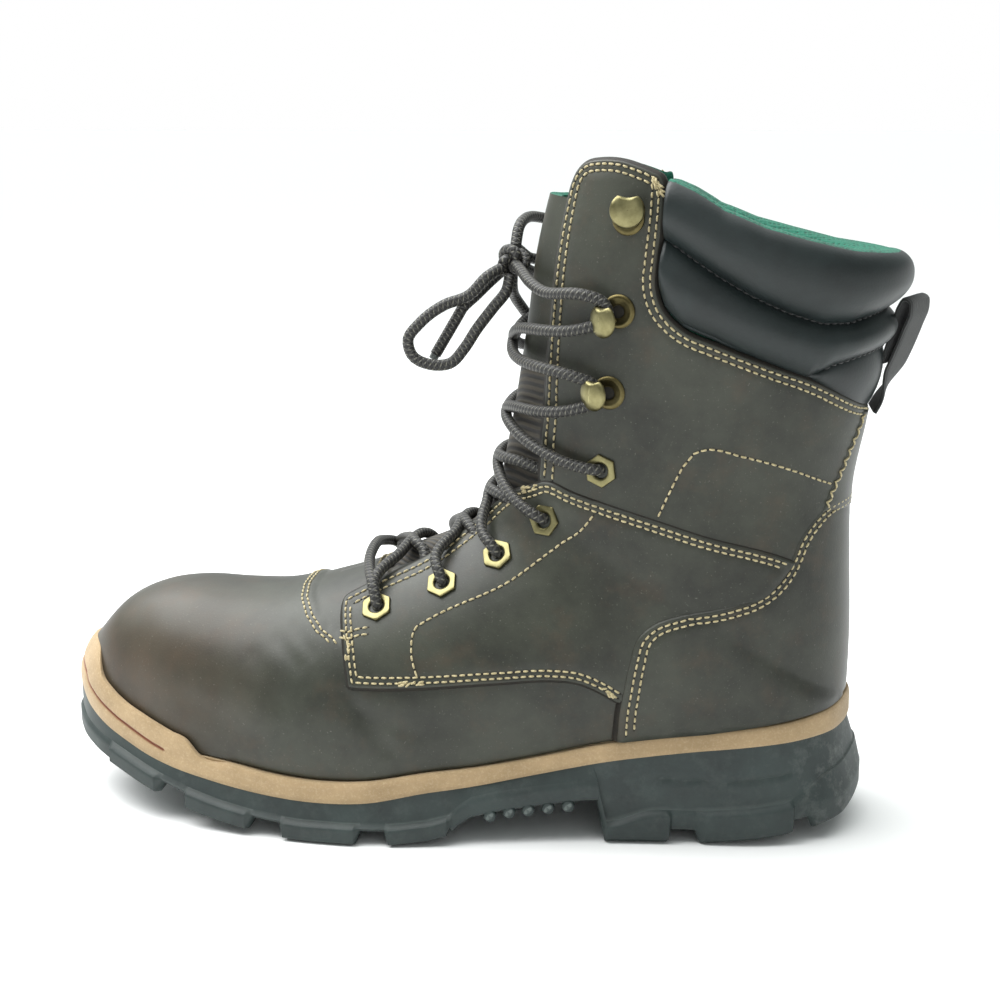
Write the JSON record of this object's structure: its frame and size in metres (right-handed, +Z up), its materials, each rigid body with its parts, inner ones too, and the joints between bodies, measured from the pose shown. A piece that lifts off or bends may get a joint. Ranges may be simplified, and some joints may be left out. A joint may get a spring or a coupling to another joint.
{
  "type": "work hiking boot",
  "caption": "High laced leather work boot for the left foot with padded collar, brass eyelets and speed hooks, tan midsole and lugged rubber outsole.",
  "frame": {"origin": "middle of the boot's box without the bow, on the floor that the sole stands on", "axes": "-X towards the toe, -Y the outer side of the left foot, +Z up the shaft"},
  "size_m": [0.3298, 0.113, 0.2497],
  "materials": {
    "oiled_leather": "matte oiled",
    "black_rubber": "matte",
    "tan_midsole": "matte",
    "insole_foam": "matte",
    "black_collar_cloth": "satin",
    "antique_brass": "aged satin",
    "braided_lace": "braided",
    "lace_tip": "satin"
  },
  "bodies": {
    "root": {"outsole": "black_rubber", "midsole": "tan_midsole", "insole": "insole_foam", "upper": "oiled_leather", "tongue": "oiled_leather", "collar": "black_collar_cloth", "pull_loop": "black_collar_cloth", "quarter_outer": "oiled_leather", "quarter_inner": "oiled_leather", "heel_counter": "oiled_leather", "backstay": "oiled_leather", "eyelet_outer_1": "antique_brass", "eyelet_outer_2": "antique_brass", "eyelet_outer_3": "antique_brass", "eyelet_outer_4": "antique_brass", "eyelet_outer_5": "antique_brass", "eyelet_inner_1": "antique_brass", "eyelet_inner_2": "antique_brass", "eyelet_inner_3": "antique_brass", "eyelet_inner_4": "antique_brass", "eyelet_inner_5": "antique_brass", "hook_outer_1": "antique_brass", "hook_outer_2": "antique_brass", "hook_outer_3": "antique_brass", "hook_inner_1": "antique_brass", "hook_inner_2": "antique_brass", "hook_inner_3": "antique_brass", "lace_bar": "braided_lace", "lace_cross_1": "braided_lace", "lace_cross_2": "braided_lace", "lace_cross_3": "braided_lace", "lace_cross_4": "braided_lace", "lace_cross_5": "braided_lace", "lace_cross_6": "braided_lace", "lace_tie_outer": "braided_lace", "lace_tie_inner": "braided_lace", "lace_knot": "braided_lace", "lace_loop_outer": "braided_lace", "lace_loop_inner": "braided_lace", "lace_end_outer": "braided_lace", "lace_end_inner": "braided_lace", "lace_tip_outer": "lace_tip", "lace_tip_inner": "lace_tip"}
  },
  "joints": []
}
